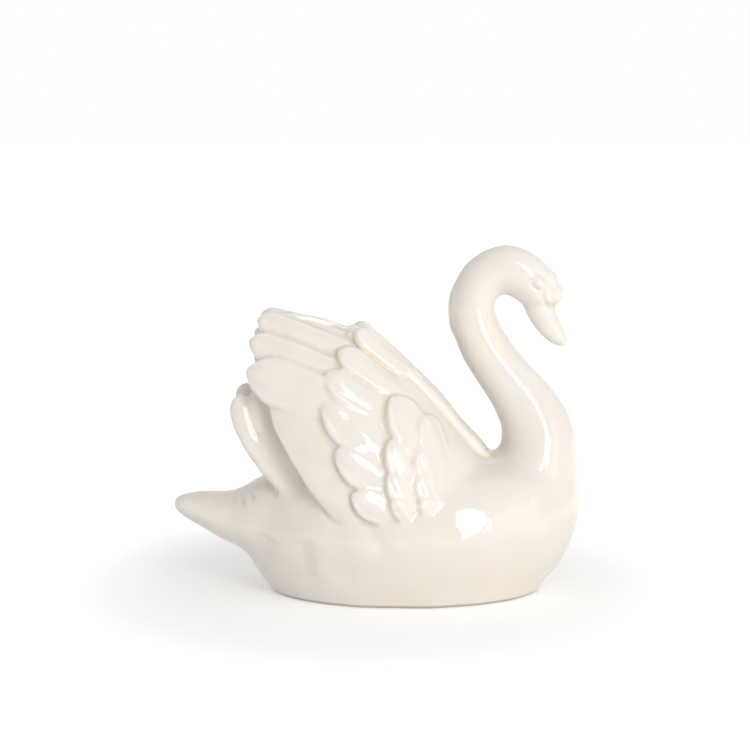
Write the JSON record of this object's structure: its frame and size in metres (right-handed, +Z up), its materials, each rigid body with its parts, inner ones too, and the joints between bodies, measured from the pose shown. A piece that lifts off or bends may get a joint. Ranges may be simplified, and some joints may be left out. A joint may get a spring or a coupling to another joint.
{
  "type": "porcelain swan figurine",
  "caption": "Small glazed porcelain swan with raised feathered wings and an S-shaped neck, standing on a flat oval foot.",
  "frame": {"origin": "on the surface that the foot stands on, under the middle of the figurine's box", "axes": "+Z up, +X from the tail to the beak, +Y to the swan's left"},
  "size_m": [0.0998, 0.053, 0.0847],
  "materials": {
    "glazed_porcelain": "glossy ivory-white glaze, bare at the foot's edge"
  },
  "bodies": {
    "root": {"swan_figurine": "glazed_porcelain"}
  },
  "joints": []
}
